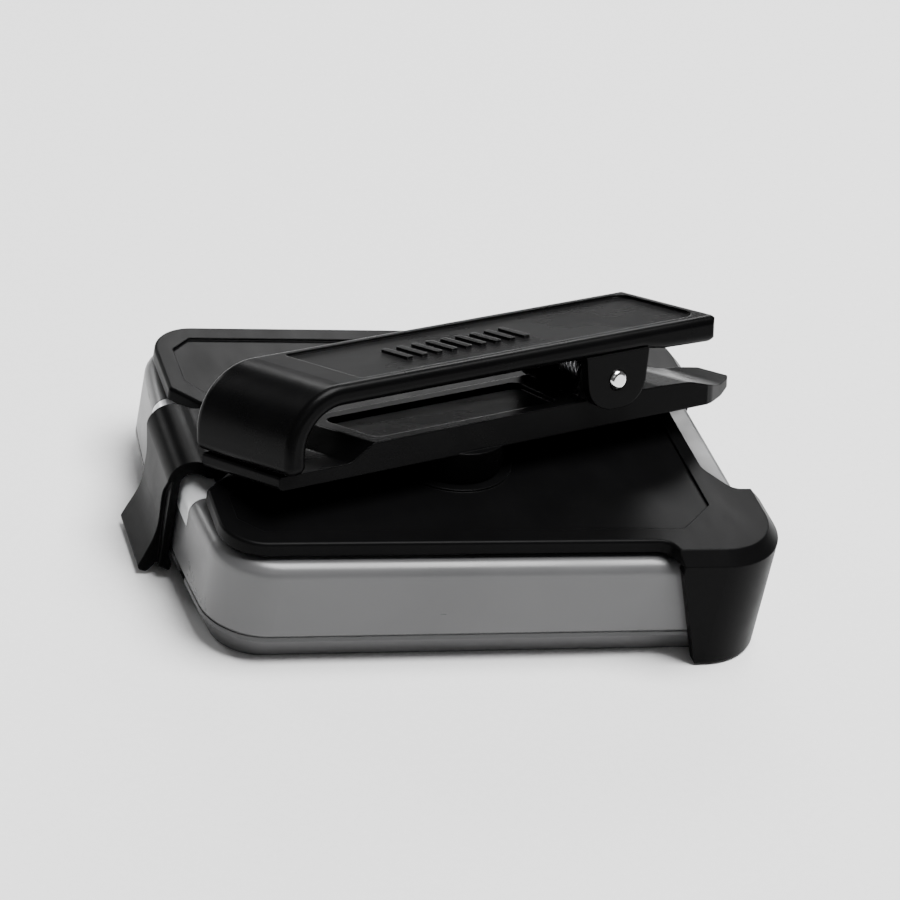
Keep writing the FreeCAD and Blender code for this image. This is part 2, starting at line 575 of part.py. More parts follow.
# the claws' front edges slope back towards the resting face
s = sketch(ho, "ho_taper", [rounded([(15.0, -3.0), (cx0 + 6.4, -3.0), (cx0 + 0.1, q.plate_low - 1.4), (15.0, q.plate_low - 1.4)])], role="XZ_Plane")
pocket(ho, s, 90.0, "ho_claw_taper", mid=True)


# sloping shoulder over each claw
def shoulder(e):
    if not at_z(e, zt):
        return False
    c = e.CenterOfMass
    return (abs(c.y) > ow - 0.02 and c.x > cx0) or (c.x > ox - 0.02) or (c.x > ox - cr and abs(c.y) > ow - cr and e.BoundBox.XLength > 6 and e.BoundBox.YLength > 6)


tip = ho.Tip
rim = pick(ho, shoulder)
cf = ho.newObject("PartDesign::Chamfer", "ho_shoulder")
cf.Base = (tip, rim)
cf.Size = 1.9
ho.Tip = cf
doc.recompute()
if "Invalid" in cf.State:
    raise RuntimeError("shoulder failed")
# sunk panel with cut corners
px0, px1, py = -38.2, 35.0, ph - 3.2
panel = [(px0 + 3.2, -py), (px1 - 6.0, -py), (px1, -py + 6.0), (px1, py - 6.0), (px1 - 6.0, py), (px0 + 3.2, py), (px0, py - 3.2), (px0, LA1 + 7.6), (ROOT + 2.2, LA1 + 2.6), (ROOT + 2.2, LA0 - 2.6), (px0, LA0 - 7.6), (px0, -py + 3.2)]
s = sketch(ho, "ho_panel", [rounded([(a[0], a[1], 0.6) for a in panel])], off=zt)
pocket(ho, s, "dims.panel_depth", "ho_sunk_panel")
# swivel seat: raised ring and stud hole
s = sketch(ho, "ho_ring", [circ(q.clip_posx, q.clip_posy, 9.6)], off=zt - 0.5)
pad(ho, s, 0.5, "ho_swivel_seat")
s = sketch(ho, "ho_stud", [circ(q.clip_posx, q.clip_posy, q.stud_rad)], off=zt + 1)
pocket(ho, s, 6.0, "ho_stud_hole")
s = sketch(ho, "ho_stud_head", [circ(q.clip_posx, q.clip_posy, 4.6)], off="dims.plate_low")
pocket(ho, s, 0.9, "ho_stud_recess", rev=True)
# standing ribs that keep the case off the plate
s = sketch(ho, "ho_ribs", [rounded([(0.5, yy - 0.6, 0.4), (24.0, yy - 0.6, 0.4), (24.0, yy + 0.6, 0.4), (0.5, yy + 0.6, 0.4)]) for yy in (-22.0, 22.0)], off="dims.body_thk + 0.1")
pad(ho, s, "dims.plate_low - dims.body_thk", "ho_ribs_pad")
fillet(ho, pick(ho, lambda e: at_z(e, zt) and e.CenterOfMass.x < cx0 and abs(abs(e.CenterOfMass.y) - ph) < 0.02), 0.5, "ho_long_edges")
done(ho)

# ------------------------------------------------------------------ latch arm
la = body("latch_arm")
prof = [(ROOT - 0.03, q.plate_low, 0.9), (ROOT - 0.03, zt, 0.9), (-38.9, zt + 0.02, 3.0), (-41.0, zt + 0.8, 3.0), (-45.3, zt + 0.8, 3.6), (-45.15, 7.4, 12.0), (-47.6, 1.0, 0.8), (-46.0, 0.5, 0.5),
        (-44.7, 2.4, 0.6), (-42.9, 1.5, 0.2), (-42.7, 2.5, 0.2), (-43.4, 4.4, 0.5), (-43.4, zt - 1.2, 1.7), (-40.9, zt - 1.2, 3.0), (-39.2, q.plate_low, 2.0)]
s = sketch(la, "la_profile", [rounded(prof)], role="XZ_Plane", off="-dims.latch_mid")
pad(la, s, "dims.latch_wid", "la_block", mid=True)
# finger tab corners rounded, arm narrowed a little below the bend
s = sketch(la, "la_trim", [rounded([(LA0 - 3.0, -1.0), (LA0 + 1.2, -1.0), (LA0 + 1.2, 3.0, 3.0), (LA0 + 2.2, 14.0, 4.0), (LA0 + 0.0, 17.2), (LA0 - 3.0, 17.2)]),
                           rounded([(LA1 + 3.0, -1.0), (LA1 - 1.2, -1.0), (LA1 - 1.2, 3.0, 3.0), (LA1 - 2.2, 14.0, 4.0), (LA1 - 0.0, 17.2), (LA1 + 3.0, 17.2)])], role="YZ_Plane", off=-44.6)
pocket(la, s, 12.0, "la_side_trim")
done(la)

# ------------------------------------------------------------------ clip frame: local x along the clip, z away from its base
yaw = q.clip_yaw
cant = q.clip_cant
rot = Rot(V(0, 0, 1), yaw).multiply(Rot(V(1, 0, 0), -cant))
cpl = Pl(V(q.clip_posx, q.clip_posy, zt + q.clip_lift), rot)
PX, PZ = q.pin_posx, q.pin_posz
LW = q.lever_wid / 2.0
BW = q.base_wid / 2.0
TOP = 14.7

# lever with hook
lv = body("clip_lever")
lprof = [(40.6, TOP, 1.5), (-36.7, TOP, 9.6), (-36.7, 2.3, 1.4), (-33.1, 2.3, 1.4), (-33.1, TOP - 3.2, 6.2),
         (26.0, TOP - 3.2, 6.0), (30.5, TOP - 3.9, 8.0), (40.6, TOP - 4.2, 1.9)]
s = sketch(lv, "lv_profile", [rounded(lprof)], role="XZ_Plane")
p = pad(lv, s, "dims.lever_wid", "lv_block", mid=True)
p.UseCustomVector = True
p.Direction = V(-q.clip_skew, 1, 0)
p.AlongSketchNormal = True
doc.recompute()


def lever_long_edges(e):
    bb = e.BoundBox
    if bb.YLength > 1e-3:
        return False
    if abs(abs(e.CenterOfMass.y) - LW) > 1e-3:
        return False
    return bb.XLength > 5 and (abs(bb.ZMin - TOP) < 1e-3)


def hook_outer(e):
    bb = e.BoundBox
    if bb.YLength > 1e-3 or abs(abs(e.CenterOfMass.y) - LW) > 1e-3:
        return False
    c = e.Curve
    return hasattr(c, "Radius") and abs(c.Radius - 9.6) < 1e-3


fillet(lv, pick(lv, lambda e: lever_long_edges(e) or hook_outer(e)), 1.25, "lv_edges")
# thumb end corners rounded in plan
sk = q.clip_skew
cuts = [rounded([(48.0, -13.0), (48.0, 13.0), (31.0, 13.0), (40.5 - sk * LW, LW - 0.25, 3.4), (40.6 + sk * LW, -LW + 0.6, 2.6), (39.0, -LW - 1.0), (39.0, -13.0)])]
s = sketch(lv, "lv_thumb", cuts, off=20.0)
pocket(lv, s, 14.0, "lv_thumb_trim")
# ears
ear = [(17.6, TOP - 2.9), (29.2, TOP - 2.9), (28.3, PZ - 4.5, 4.6), (18.5, PZ - 4.5, 4.6)]
for sg, nm in ((-1, "front"), (1, "rear")):
    s = sketch(lv, "lv_ear_" + nm, [rounded(ear)], role="XZ_Plane", off=(-sg * (BW + 0.1) if sg < 0 else -sg * LW))
    pad(lv, s, LW - BW - 0.1, "lv_ear_pad_" + nm)
s = sketch(lv, "lv_bore", [circ(PX, PZ, q.pin_rad + q.run_gap)], role="XZ_Plane")
pocket(lv, s, 40.0, "lv_pin_bore", mid=True)
# long sunk field on top
fy = LW - 1.9
fld = [(-23.0 + sk * fy, -fy, 0.8), (38.4 + sk * fy, -fy, 2.4), (38.4 - sk * fy, fy, 2.4), (-23.0 - sk * fy, fy, 0.8)]
s = sketch(lv, "lv_field", [rounded(fld)], off=TOP)
pocket(lv, s, 0.4, "lv_sunk_field")
# row of short raised bars in the middle of the sunk field
s = sketch(lv, "lv_bars", [rounded([(x + sk * 2.6, -2.6, 0.3), (x + 1.2 + sk * 2.6, -2.6, 0.3), (x + 1.2 - sk * 2.6, 2.6, 0.3), (x - sk * 2.6, 2.6, 0.3)]) for x in [-10.6 + 2.6 * k for k in range(9)]], off=TOP - 0.6)
pad(lv, s, 0.55, "lv_grip_bars")
lv.Placement = cpl
done(lv)

# base with wedge foot, ears and tail
cb = body("clip_base")
bprof = [(-36.6, 0.0, 0.8), (45.6, 0.0, 6.0), (49.6, 1.1, 0.6), (49.2, 2.3, 0.5), (45.0, 1.9, 6.0), (37.0, 4.2, 8.0), (31.0, 4.5, 8.0), (-20.6, 4.5, 1.2), (-24.6, 2.15, 1.6), (-36.6, 2.15, 0.5)]
s = sketch(cb, "cb_profile", [rounded(bprof)], role="XZ_Plane")
p = pad(cb, s, "dims.base_wid", "cb_block", mid=True)
p.UseCustomVector = True
p.Direction = V(-q.clip_skew, 1, 0)
p.AlongSketchNormal = True
doc.recompute()
bear = [(19.1, 3.8), (27.7, 3.8), (27.1, PZ + 3.5, 3.6), (19.7, PZ + 3.5, 3.6)]
for sg, nm in ((-1, "front"), (1, "rear")):
    s = sketch(cb, "cb_ear_" + nm, [rounded(bear)], role="XZ_Plane", off=(BW - 2.2 if sg < 0 else -BW))
    pad(cb, s, 2.2, "cb_ear_pad_" + nm)
s = sketch(cb, "cb_bore", [circ(PX, PZ, q.pin_rad)], role="XZ_Plane")
pocket(cb, s, 40.0, "cb_pin_bore", mid=True)
# channel between the ears for the spring coil
s = rect_sketch(cb, "cb_channel", 19.6, 27.4, -BW + 2.2, BW - 2.2, off=4.1)
pocket(cb, s, 6.0, "cb_spring_channel", rev=True)
# round wedge foot square to the holster plate
drop = q.clip_lift - q.foot_gap
nrm = V(0, -math.sin(math.radians(cant)), math.cos(math.radians(cant)))
fo = Pl(nrm * (-drop), Rot(V(1, 0, 0), cant))
s = sketch(cb, "cb_foot", [circ(0, 0, q.foot_rad)], offrot=fo)
pad(cb, s, drop + 2.3, "cb_wedge_foot")
s = sketch(cb, "cb_stud", [circ(0, 0, q.stud_rad + q.run_gap)], offrot=fo)
pocket(cb, s, 3.2, "cb_stud_bore", rev=True)
# tail corners rounded in plan
s = sketch(cb, "cb_tail", [rounded([(54.0, -12.0), (54.0, 12.0), (34.0, 12.0), (36.0, BW - 0.05, 4.0), (45.5, BW - 2.4, 5.0), (49.4, 1.5, 3.0), (49.9, -3.4, 2.0), (43.5, -BW + 0.4, 4.0), (40.5, -BW - 0.6), (40.5, -12.0)])], off=20.0)
pocket(cb, s, 30.0, "cb_tail_trim")
# long relief on top of the base, leaves raised side rails
s = sketch(cb, "cb_relief", [rounded([(-17.0, -BW + 2.0, 1.5), (15.5, -BW + 2.0, 1.5), (15.5, BW - 2.0, 1.5), (-19.5, BW - 2.0, 1.5)])], off=4.5)
pocket(cb, s, 0.8, "cb_top_relief")
cb.Placement = cpl
done(cb)

# pin with domed ends
cp = body("clip_pin")
s = sketch(cp, "cp_section", [circ(PX, PZ, q.pin_rad)], role="XZ_Plane")
pad(cp, s, "dims.pin_len", "cp_rod", mid=True)
fillet(cp, pick(cp, lambda e: abs(abs(e.CenterOfMass.y) - q.pin_len / 2.0) < 1e-3), 0.6, "cp_domes")
cp.Placement = cpl
done(cp)

# torsion spring: coil on the pin, one leg under the thumb end and one on the tail
wr = 0.42
cm = 2.25
pitch = 0.95
turns = 4.5
hx = Part.makeHelix(pitch, pitch * turns, cm)
pr = Part.Wire([Part.Circle(V(cm, 0, 0), V(0, 1, pitch / (2 * math.pi * cm)), wr).toShape()])
coil = Part.Wire(hx.Edges).makePipeShell([pr], True, True)
coil.translate(V(0, 0, -pitch * turns / 2.0))
# turn the helix so that it winds round the pin axis
coil.rotate(V(0, 0, 0), V(1, 0, 0), -90)
coil.rotate(V(0, 0, 0), V(0, 1, 0), 90)
coil.translate(V(PX, 0, PZ))
ya = -pitch * turns / 2.0
yb = pitch * turns / 2.0


def rod(p, e, r):
    d = e - p
    return Part.makeCylinder(r, d.Length, p, d)


up = Part.makeSphere(wr, V(35.0, ya, PZ + 2.55))
leg1 = rod(V(PX, ya, PZ + cm), V(35.0, ya, PZ + 2.55), wr)
leg2 = rod(V(PX, yb, PZ - cm), V(36.2, yb, 5.05), wr)
lo = Part.makeSphere(wr, V(36.2, yb, 5.05))
k1 = Part.makeSphere(wr, V(PX, ya, PZ + cm))
k2 = Part.makeSphere(wr, V(PX, yb, PZ - cm))
spr_shape = coil.multiFuse([leg1, leg2, up, lo, k1, k2]).removeSplitter()
spr = doc.addObject("Part::Feature", "clip_spring")
spr.Shape = spr_shape
spr.Placement = cpl
spr.Label = "clip_spring"
done(spr)

# ------------------------------------------------------------------ swivel stud and washer
st = prim("Cylinder", "stud_shank", pos=(q.clip_posx, q.clip_posy, q.plate_low + 0.1), Radius="dims.stud_rad", Height=q.plate_thk - 0.1 + q.foot_gap + 2.9)
sh2 = prim("Cylinder", "stud_head", pos=(q.clip_posx, q.clip_posy, q.plate_low + 0.1), Radius=4.5, Height=0.78)
bind_z(sh2, "dims.plate_low + 0.1")
bind_z(st, "dims.plate_low + 0.1")
stud = doc.addObject("Part::MultiFuse", "swivel_stud")
stud.Shapes = [st, sh2]
stud.Label = "swivel_stud"
done(stud)
w1 = prim("Cylinder", "washer_outer", pos=(q.clip_posx, q.clip_posy, zt + 0.01), Radius=7.6, Height=q.foot_gap - 0.03)
w2 = prim("Cylinder", "washer_inner", pos=(q.clip_posx, q.clip_posy, zt - 1.0), Radius=2.58, Height=4.0)
wz = doc.addObject("Part::Cut", "swivel_washer")
wz.Base = w1
wz.Tool = w2
wz.Label = "swivel_washer"
done(wz)

doc.recompute()

# ------------------------------------------------------------------ checks and export
bad = []
for o in doc.Objects:
    if "Invalid" in o.State or "Error" in o.State:
        bad.append((o.Name, list(o.State)))
for p in parts:
    if p.Shape.isNull() or not p.Shape.isValid():
        bad.append((p.Label, "shape"))
    if not p.Shape.Solids:
        bad.append((p.Label, "no solid"))
if bad:
    raise RuntimeError("bad objects: %s" % bad)
for p in parts:
    p.Shape.exportStep("parts/" + p.Label + ".step")
    bb = p.Shape.BoundBox
    print("%-18s solids %d vol %9.2f  x %.2f..%.2f y %.2f..%.2f z %.2f..%.2f" % (p.Label, len(p.Shape.Solids), p.Shape.Volume, bb.XMin, bb.XMax, bb.YMin, bb.YMax, bb.ZMin, bb.ZMax))
ax = rot.multVec(V(0, 1, 0))
pp = cpl.multVec(V(PX, 0, PZ))
print("lever axis", ax, "lever point", pp)
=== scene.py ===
import json
import math
import bmesh
import bpy
from mathutils import Matrix, Vector

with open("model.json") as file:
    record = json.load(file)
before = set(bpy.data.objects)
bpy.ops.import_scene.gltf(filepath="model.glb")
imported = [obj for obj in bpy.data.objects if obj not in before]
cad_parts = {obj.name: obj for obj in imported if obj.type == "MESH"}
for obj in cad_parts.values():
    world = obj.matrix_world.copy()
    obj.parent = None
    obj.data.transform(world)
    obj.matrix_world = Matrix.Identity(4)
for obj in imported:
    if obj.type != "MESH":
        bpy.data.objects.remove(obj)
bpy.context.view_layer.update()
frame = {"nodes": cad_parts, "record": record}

NODES = frame["nodes"]


# ---------------------------------------------------------------- material helpers
class Mat:
    """A small wrapper that keeps the node code short."""

    def __init__(self, name):
        self.m = bpy.data.materials.new(name)
        self.m.use_nodes = True
        self.nt = self.m.node_tree
        self.nt.nodes.clear()
        self.out = self.nt.nodes.new("ShaderNodeOutputMaterial")
        self.b = self.nt.nodes.new("ShaderNodeBsdfPrincipled")
        self.nt.links.new(self.b.outputs[0], self.out.inputs[0])
        self.tc = self.nt.nodes.new("ShaderNodeTexCoord")
        self.pos = self.tc.outputs["Object"]

    def node(self, kind, **kw):
        n = self.nt.nodes.new(kind)
        for k, v in kw.items():
            setattr(n, k, v)
        return n

    def put(self, socket, value):
        if isinstance(value, bpy.types.NodeSocket):
            self.nt.links.new(value, socket)
        elif value is not None:
            socket.default_value = value

    def noise(self, scale, detail=3.0, rough=0.55, dist=0.0, vec=None):
        n = self.node("ShaderNodeTexNoise")
        n.inputs["Scale"].default_value = scale
        n.inputs["Detail"].default_value = detail
        n.inputs["Roughness"].default_value = rough
        n.inputs["Distortion"].default_value = dist
        self.put(n.inputs["Vector"], vec or self.pos)
        return n.outputs["Fac"]

    def stretch(self, sx, sy, sz, rz=0.0):
        n = self.node("ShaderNodeMapping")
        n.inputs["Scale"].default_value = (sx, sy, sz)
        n.inputs["Rotation"].default_value = (0.0, 0.0, rz)
        self.put(n.inputs["Vector"], self.pos)
        return n.outputs[0]

    def voronoi(self, scale, feature="F1", vec=None):
        n = self.node("ShaderNodeTexVoronoi", feature=feature)
        n.inputs["Scale"].default_value = scale
        self.put(n.inputs["Vector"], vec or self.pos)
        return n.outputs["Distance"]

    def ramp(self, fac, a, b, lo=0.0, hi=1.0):
        """a at lo, b at hi"""
        n = self.node("ShaderNodeMapRange")
        self.put(n.inputs["Value"], fac)
        n.inputs["From Min"].default_value = lo
        n.inputs["From Max"].default_value = hi
        n.inputs["To Min"].default_value = a
        n.inputs["To Max"].default_value = b
        return n.outputs[0]

    def math(self, op, a, b=None, clamp=False):
        n = self.node("ShaderNodeMath", operation=op, use_clamp=clamp)
        self.put(n.inputs[0], a)
        if b is not None:
            self.put(n.inputs[1], b)
        return n.outputs[0]

    def mix(self, fac, a, b):
        n = self.node("ShaderNodeMix", data_type="RGBA")
        self.put(n.inputs["Factor"], fac)
        for i, v in ((6, a), (7, b)):
            if isinstance(v, bpy.types.NodeSocket):
                self.nt.links.new(v, n.inputs[i])
            else:
                n.inputs[i].default_value = (*v[:3], 1.0)
        return n.outputs[2]

    def edge(self, size=0.0004):
        """1 on worn edges, 0 on flats, from the difference of a rounded normal"""
        bev = self.node("ShaderNodeBevel", samples=6)
        bev.inputs["Radius"].default_value = size
        geo = self.node("ShaderNodeNewGeometry")
        dot = self.node("ShaderNodeVectorMath", operation="DOT_PRODUCT")
        self.put(dot.inputs[0], bev.outputs[0])
        self.put(dot.inputs[1], geo.outputs["Normal"])
        return self.ramp(dot.outputs["Value"], 1.0, 0.0, 0.80, 0.985), bev.outputs[0]

    def bump(self, height, strength=0.2, dist=0.0002, normal=None):
        n = self.node("ShaderNodeBump")
        n.inputs["Strength"].default_value = strength
        n.inputs["Distance"].default_value = dist
        self.put(n.inputs["Height"], height)
        if normal is not None:
            self.put(n.inputs["Normal"], normal)
        return n.outputs[0]

    def finish(self, color, rough, metal=0.0, spec=0.5, normal=None, coat=0.0, coat_rough=0.1, **more):
        b = self.b
        if isinstance(color, bpy.types.NodeSocket):
            self.nt.links.new(color, b.inputs["Base Color"])
        else:
            b.inputs["Base Color"].default_value = (*color[:3], 1.0)
        self.put(b.inputs["Roughness"], rough)
        self.put(b.inputs["Metallic"], metal)
        self.put(b.inputs["Specular IOR Level"], spec)
        if normal is not None:
            self.nt.links.new(normal, b.inputs["Normal"])
        if coat:
            b.inputs["Coat Weight"].default_value = coat
            b.inputs["Coat Roughness"].default_value = coat_rough
        for k, v in more.items():
            self.put(b.inputs[k.replace("_", " ")], v)
        return self.m


def moulded(name, base, worn, rough=(0.38, 0.5), grain=0.12, grain_scale=5200.0, spec=0.5, dust=0.15, flow=(1.0, 1.0, 1.0), sheen_edge=0.0003):
    """Moulded plastic: spark-eroded grain, slow sink and flow marks, rubbed bright edges and a little dust."""
    m = Mat(name)
    big = m.noise(38.0, 3.0, 0.5, 0.4)
    mid = m.noise(260.0, 4.0, 0.6, 0.0, m.stretch(*flow))
    fine = m.voronoi(grain_scale)
    fine2 = m.noise(grain_scale * 0.55, 3.0, 0.6)
    edge, rounded = m.edge(sheen_edge)
    rub = m.math("MULTIPLY", edge, m.ramp(m.noise(420.0, 5.0, 0.65, 0.2), 0.05, 1.0, 0.35, 0.75), clamp=True)
    tone = m.mix(m.ramp(big, 0.0, 1.0, 0.3, 0.7), tuple(c * 0.90 for c in base), tuple(c * 1.10 for c in base))
    tone = m.mix(m.ramp(mid, 0.0, dust, 0.5, 0.8), tone, tuple(min(1.0, c * 1.25 + 0.0015) for c in base))
    tone = m.mix(m.math("MULTIPLY", rub, 0.4), tone, worn)
    r = m.ramp(mid, rough[0], rough[1], 0.3, 0.7)
    r = m.math("ADD", r, m.ramp(big, -0.04, 0.04, 0.3, 0.7))
    r = m.math("SUBTRACT", r, m.math("MULTIPLY", rub, 0.10), clamp=True)
    h = m.math("ADD", m.math("MULTIPLY", fine, 0.6), m.math("MULTIPLY", fine2, 0.8))
    n = m.bump(h, grain, 0.00006, rounded)
    n = m.bump(mid, 0.025, 0.00010, n)
    return m.finish(tone, r, 0.0, spec, n)


def metal(name, base, rough=(0.16, 0.3), scratch=(600.0, 60.0, 600.0), tint=None, aniso=0.0, spec=0.5, bump=0.06):
    """Bare metal: drawn or ground lines, stains in the finish and slightly lighter edges."""
    m = Mat(name)
    lines = m.noise(1.0, 6.0, 0.65, 0.0, m.stretch(*scratch))
    stain = m.noise(300.0, 4.0, 0.6, 0.3)
    edge, rounded = m.edge(0.00015)
    col = m.mix(m.ramp(stain, 0.0, 1.0, 0.35, 0.7), tuple(c * 0.86 for c in base), base)
    col = m.mix(m.math("MULTIPLY", edge, 0.5), col, tint or tuple(min(1.0, c * 1.15) for c in base))
    r = m.ramp(lines, rough[0], rough[1], 0.3, 0.75)
    r = m.math("ADD", r, m.ramp(stain, -0.03, 0.05, 0.3, 0.7), clamp=True)
    n = m.bump(lines, bump, 0.00008, rounded)
    return m.finish(col, r, 1.0, spec, n)


def soft_rubber(name, base, rough=(0.6, 0.8), bump=0.2):
    m = Mat(name)
    a = m.noise(3000.0, 4.0, 0.7)
    b = m.noise(200.0, 3.0, 0.5)
    edge, rounded = m.edge(0.00025)
    col = m.mix(m.ramp(b, 0.0, 1.0, 0.3, 0.7), tuple(c * 0.85 for c in base), tuple(c * 1.2 for c in base))
    col = m.mix(m.math("MULTIPLY", edge, 0.5), col, tuple(min(1.0, c * 1.8 + 0.01) for c in base))
    return m.finish(col, m.ramp(a, rough[0], rough[1], 0.3, 0.7), 0.0, 0.35, m.bump(a, bump, 0.00006, rounded))


# ---------------------------------------------------------------- the finishes
BLACK = (0.0020, 0.0020, 0.0021)
RUBBED = (0.016, 0.0162, 0.0165)
mats = {}
# case_front is the same grey plastic as case_back but gets darker base and wear colours: painted shade for the
# lower housing, which curves under and faces away from the light
mats["case_front"] = moulded("case_front", (0.050, 0.050, 0.051), (0.072, 0.072, 0.073), (0.30, 0.40), 0.03, 6500.0, 0.30, 0.05, (1.0, 0.25, 1.0))
mats["case_back"] = moulded("case_back", (0.080, 0.080, 0.0815), (0.12, 0.12, 0.121), (0.28, 0.36), 0.03, 6500.0, 0.50, 0.05, (0.25, 1.0, 1.0))
mats["door_plastic"] = moulded("door_plastic", (0.084, 0.084, 0.0855), (0.125, 0.125, 0.126), (0.30, 0.40), 0.04, 6500.0, 0.45, 0.06)
mats["holster_plastic"] = moulded("holster_plastic", BLACK, RUBBED, (0.31, 0.39), 0.05, 4200.0, 0.036, 0.10, (1.0, 0.3, 1.0))
mats["latch_plastic"] = moulded("latch_plastic", BLACK, RUBBED, (0.31, 0.39), 0.05, 4200.0, 0.028, 0.10)
mats["clip_lever_plastic"] = moulded("clip_lever_plastic", (0.0018, 0.0018, 0.0019), RUBBED, (0.26, 0.32), 0.02, 4600.0, 0.052, 0.06, (0.3, 1.0, 1.0))
mats["clip_base_plastic"] = moulded("clip_base_plastic", (0.0016, 0.0016, 0.0017), RUBBED, (0.26, 0.34), 0.04, 4600.0, 0.045, 0.10, (0.3, 1.0, 1.0))


def polished_window():
    m = Mat("window_gloss")
    wipe = m.noise(1.0, 5.0, 0.6, 0.6, m.stretch(60.0, 18.0, 60.0, 0.5))
    specks = m.voronoi(1500.0)
    edge, rounded = m.edge(0.0003)
    col = m.mix(m.math("MULTIPLY", edge, 0.4), (0.006, 0.0065, 0.008), (0.05, 0.052, 0.056))
    r = m.ramp(wipe, 0.045, 0.13, 0.35, 0.75)
    r = m.math("ADD", r, m.ramp(specks, 0.20, 0.0, 0.02, 0.09), clamp=True)
    return m.finish(col, r, 0.0, 0.55, m.bump(wipe, 0.02, 0.0001, rounded), 0.5, 0.03)


mats["window_gloss"] = polished_window()


def silver_paint():
    m = Mat("strip_silver")
    flake = m.voronoi(9000.0)
    cloud = m.noise(300.0, 4.0, 0.6)
    edge, rounded = m.edge(0.0003)
    col = m.mix(m.ramp(flake, 0.0, 1.0, 0.1, 0.6), (0.50, 0.515, 0.54), (0.66, 0.67, 0.69))
    col = m.mix(m.math("MULTIPLY", edge, 0.35), col, (0.80, 0.80, 0.80))
    return m.finish(col, m.ramp(cloud, 0.30, 0.42, 0.3, 0.7), 0.75, 0.5, m.bump(flake, 0.06, 0.00004, rounded), 0.3, 0.12)


mats["strip_silver"] = silver_paint()
mats["key_grey"] = soft_rubber("key_grey", (0.055, 0.057, 0.062), (0.42, 0.56), 0.12)
mats["gasket"] = soft_rubber("gasket", (0.055, 0.055, 0.056), (0.5, 0.7), 0.1)
mats["pad_rubber"] = soft_rubber("pad_rubber", (0.020, 0.020, 0.022))


def display():
    m = Mat("display_glass")
    grid = m.node("ShaderNodeTexBrick")
    grid.inputs["Scale"].default_value = 900.0
    grid.inputs["Mortar Size"].default_value = 0.04
    m.put(grid.inputs["Vector"], m.pos)
    cloud = m.noise(120.0, 3.0, 0.5)
    col = m.mix(m.ramp(cloud, 0.0, 1.0, 0.3, 0.7), (0.13, 0.16, 0.11), (0.18, 0.21, 0.15))
    return m.finish(col, m.ramp(cloud, 0.12, 0.22, 0.3, 0.7), 0.0, 0.5, m.bump(grid.outputs["Fac"], 0.05, 0.00005), 0.6, 0.05)


mats["display_glass"] = display()


def board():
    m = Mat("board")
    weave = m.node("ShaderNodeTexWave", wave_type="BANDS", bands_direction="X")
    weave.inputs["Scale"].default_value = 2400.0
    m.put(weave.inputs["Vector"], m.pos)
    weave2 = m.node("ShaderNodeTexWave", wave_type="BANDS", bands_direction="Y")
    weave2.inputs["Scale"].default_value = 2400.0
    m.put(weave2.inputs["Vector"], m.pos)
    w = m.math("MULTIPLY", weave.outputs["Fac"], weave2.outputs["Fac"])
    cloud = m.noise(250.0, 3.0, 0.5)
    col = m.mix(m.ramp(cloud, 0.0, 1.0, 0.3, 0.7), (0.012, 0.085, 0.035), (0.020, 0.125, 0.050))
    return m.finish(col, m.ramp(cloud, 0.28, 0.4, 0.3, 0.7), 0.0, 0.5, m.bump(w, 0.12, 0.00004))


mats["board"] = board()
mats["shield_tin"] = metal("shield_tin", (0.62, 0.62, 0.60), (0.24, 0.38))
mats["sprung_contact"] = metal("sprung_contact", (0.83, 0.60, 0.26), (0.18, 0.3))
mats["gold_contact"] = metal("gold_contact", (0.90, 0.66, 0.28), (0.14, 0.26), (500.0, 500.0, 60.0))
mats["motor_steel"] = metal("motor_steel", (0.58, 0.58, 0.58), (0.2, 0.34))
mats["weight_brass"] = metal("weight_brass", (0.42, 0.40, 0.36), (0.32, 0.5))
mats["copper_loop"] = metal("copper_loop", (0.75, 0.36, 0.20), (0.22, 0.36))
mats["bar_chrome"] = metal("bar_chrome", (0.70, 0.70, 0.71), (0.08, 0.16), (90.0, 700.0, 700.0))
mats["screw_steel"] = metal("screw_steel", (0.10, 0.10, 0.105), (0.28, 0.42), (500.0, 500.0, 500.0))
mats["pin_steel"] = metal("pin_steel", (0.80, 0.80, 0.80), (0.10, 0.20), (420.0, 420.0, 420.0), bump=0.03)
mats["spring_steel"] = metal("spring_steel", (0.34, 0.34, 0.35), (0.20, 0.34), (900.0, 900.0, 900.0))
mats["stud_steel"] = metal("stud_steel", (0.45, 0.45, 0.46), (0.20, 0.34), (500.0, 500.0, 500.0))
mats["washer_nylon"] = moulded("washer_nylon", (0.58, 0.56, 0.50), (0.66, 0.64, 0.58), (0.38, 0.5), 0.05, 3000.0, 0.45, 0.2)
mats["buzzer_can"] = moulded("buzzer_can", (0.012, 0.012, 0.013), (0.05, 0.05, 0.05), (0.4, 0.5))
mats["lamp_body"] = moulded("lamp_body", (0.66, 0.66, 0.62), (0.75, 0.75, 0.72), (0.22, 0.32), 0.03)


def cell_wrap():
    m = Mat("cell_wrap")
    wrinkle = m.noise(1.0, 5.0, 0.6, 0.8, m.stretch(120.0, 500.0, 120.0))
    cloud = m.noise(180.0, 3.0, 0.5)
    edge, rounded = m.edge(0.0004)
    col = m.mix(m.ramp(cloud, 0.0, 1.0, 0.3, 0.7), (0.020, 0.042, 0.13), (0.030, 0.060, 0.17))
    col = m.mix(m.math("MULTIPLY", edge, 0.3), col, (0.15, 0.2, 0.32))
    return m.finish(col, m.ramp(wrinkle, 0.2, 0.34, 0.3, 0.7), 0.0, 0.5, m.bump(wrinkle, 0.12, 0.0001, rounded), 0.3, 0.1)


mats["cell_wrap"] = cell_wrap()


